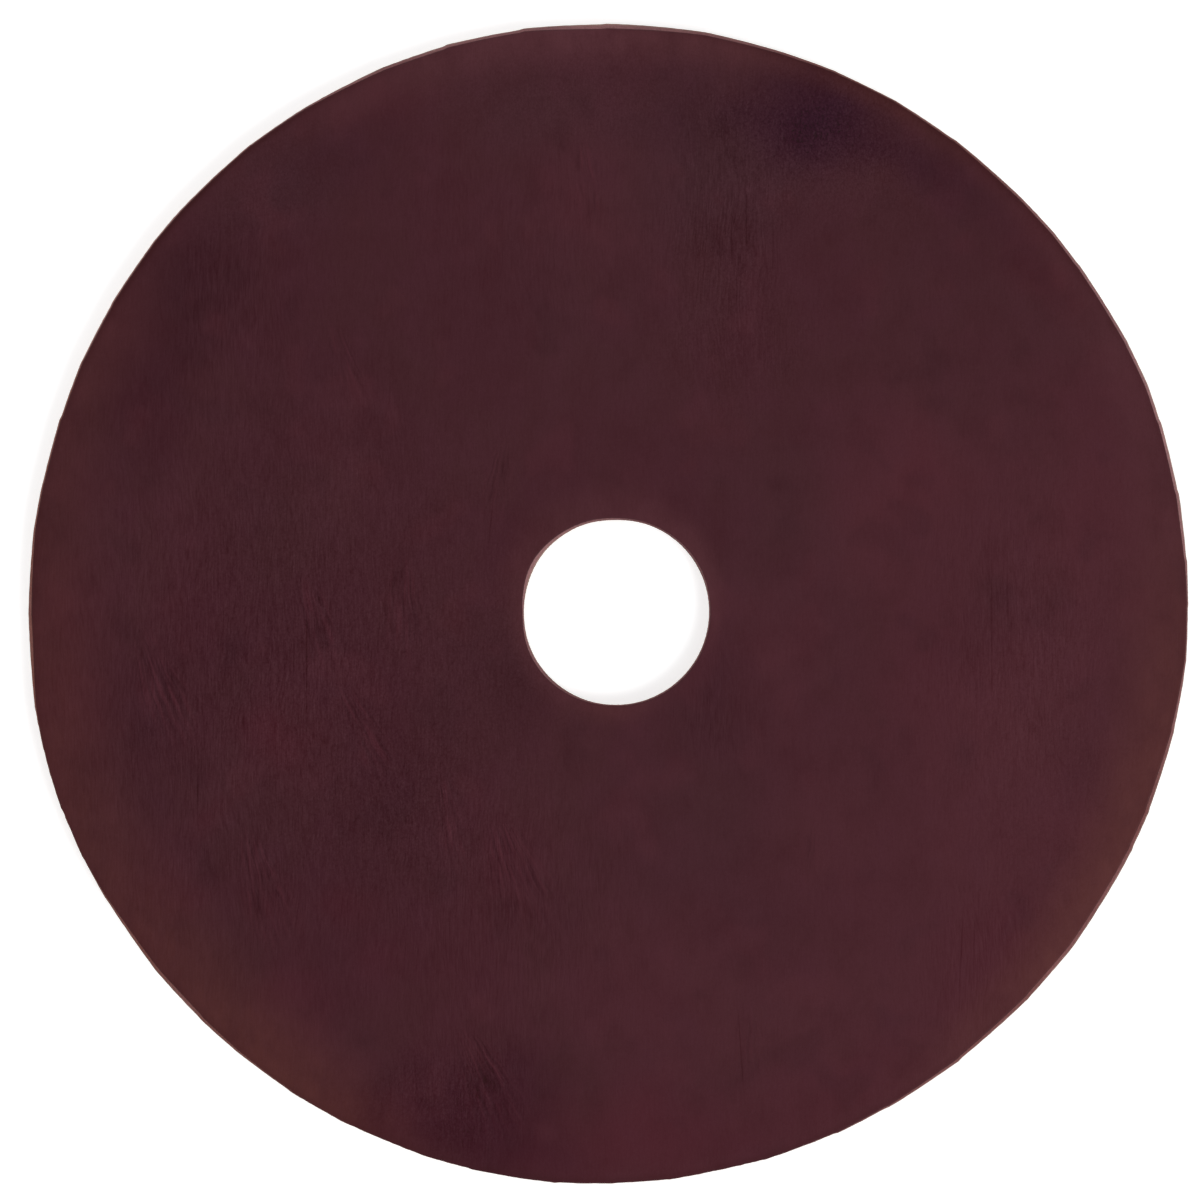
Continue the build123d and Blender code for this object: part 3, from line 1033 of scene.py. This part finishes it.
class LAPDISC_OT_stage(bpy.types.Operator):
    """Set the floor, the lamps, the room's light and the camera"""

    bl_idname = "lapdisc.stage"
    bl_label = "Set the stage"

    def execute(self, context):
        scene, stage = context.scene, context.scene.lap_disc.stage
        self.floor(stage)
        self.lamp("key", stage.key, KEY_PLACE)
        self.lamp("fill", stage.fill, FILL_PLACE)
        self.room(scene, stage)
        self.camera(scene, stage)
        scene.view_settings.view_transform = "Standard"
        return {"FINISHED"}

    def floor(self, stage):
        """A flat sheet, white to the camera and pale to everything else."""
        square = np.array([(-1, -1), (1, -1), (1, 1), (-1, 1)]) * FLOOR_HALF
        points = raised(square, LINER_LOW.z - FLOOR_GAP)
        mesh = bpy.data.meshes.new("floor")
        mesh.from_pydata(points.tolist(), [], [(0, 1, 2, 3)])
        floor = linked("floor", mesh)
        f = Finish(bpy.data.materials.new("floor"))
        pale = f.add("BsdfDiffuse", None, {"Color": (0.8, 0.8, 0.8, 1)})
        away = f.add("VectorMath", {"operation": "LENGTH"}, {0: f.place()}, "Value")
        strength = f.span(away, LIFT_NEAR, LIFT_FAR, stage.glow, 1.0)
        glow = f.add("Emission", None, {"Color": (1, 1, 1, 1), "Strength": strength})
        lifted = f.add("AddShader", None, {0: pale, 1: glow})
        seen = 0.0
        for ray in ("Is Camera Ray", "Is Glossy Ray", "Is Transmission Ray"):
            seen = f.add("LightPath", out=ray) + seen
        surface = f.add("MixShader", None, {0: f.step(seen, 0.0, 1.0), 1: pale, 2: lifted})
        f.add("OutputMaterial", None, {"Surface": surface})
        floor.data.materials.append(f.owner)

    def lamp(self, name, power, place):
        """A square soft box that faces the disc."""
        light = bpy.data.lights.new(name, "AREA")
        light.energy = power
        light.size = LAMP_SIZE
        lamp = linked(name, light)
        lamp.location = place
        lamp.rotation_euler = (-lamp.location).to_track_quat("-Z", "Y").to_euler()

    def room(self, scene, stage):
        """A white horizon that falls off to a dimmer ceiling."""
        world = bpy.data.worlds.new("room")
        scene.world = world
        f = Finish(world)
        up = f.parts(f.add("TexCoord", out="Generated"))[2]
        strength = f.span(up, HORIZON, CEILING, 1.0, stage.sky)
        sky = f.add("Background", None, {"Color": (1, 1, 1, 1), "Strength": strength})
        f.add("OutputWorld", None, {"Surface": sky})

    def camera(self, scene, stage):
        """Straight above the disc, as far back as the lens needs to frame it."""
        data = bpy.data.cameras.new("camera")
        data.lens = stage.lens
        camera = linked("camera", data)
        width = 2 * OUTLINE_RADIUS * stage.margin
        distance = width * data.lens / data.sensor_width
        aside_x, aside_y = (width * step for step in CAMERA_ASIDE)
        camera.location = (
            OUTLINE_CENTRE.x + aside_x, OUTLINE_CENTRE.y + aside_y, LEATHER_LOW.z + distance)
        scene.camera = camera


class LAPDISC_PT_panel(bpy.types.Panel):
    """The disc's settings and the steps that build it"""

    bl_idname = "LAPDISC_PT_panel"
    bl_label = "Leather Polishing Disc"
    bl_space_type = "VIEW_3D"
    bl_region_type = "UI"
    bl_category = "Polishing Disc"

    def draw(self, context):
        settings = context.scene.lap_disc
        for group in (settings.cut, settings.grain, settings.backing, settings.stage):
            box = self.layout.box()
            for name in group.__annotations__:
                box.prop(group, name)
        for operator in OPERATORS:
            self.layout.operator(operator.bl_idname)


OPERATORS = (LAPDISC_OT_leather, LAPDISC_OT_film, LAPDISC_OT_liner, LAPDISC_OT_stage)
GROUPS = (LapDiscCut, LapDiscGrain, LapDiscBacking, LapDiscStage, LapDiscSettings)
CLASSES = (*GROUPS, *OPERATORS, LAPDISC_PT_panel)


def register():
    for cls in CLASSES:
        bpy.utils.register_class(cls)
    bpy.types.Scene.lap_disc = PointerProperty(type=LapDiscSettings)


def unregister():
    del bpy.types.Scene.lap_disc
    for cls in reversed(CLASSES):
        bpy.utils.unregister_class(cls)


def main():
    """Build the disc and its stage."""
    register()
    bpy.ops.lapdisc.leather()
    bpy.ops.lapdisc.film()
    bpy.ops.lapdisc.liner()
    bpy.ops.lapdisc.stage()


if __name__ == "__main__":
    main()
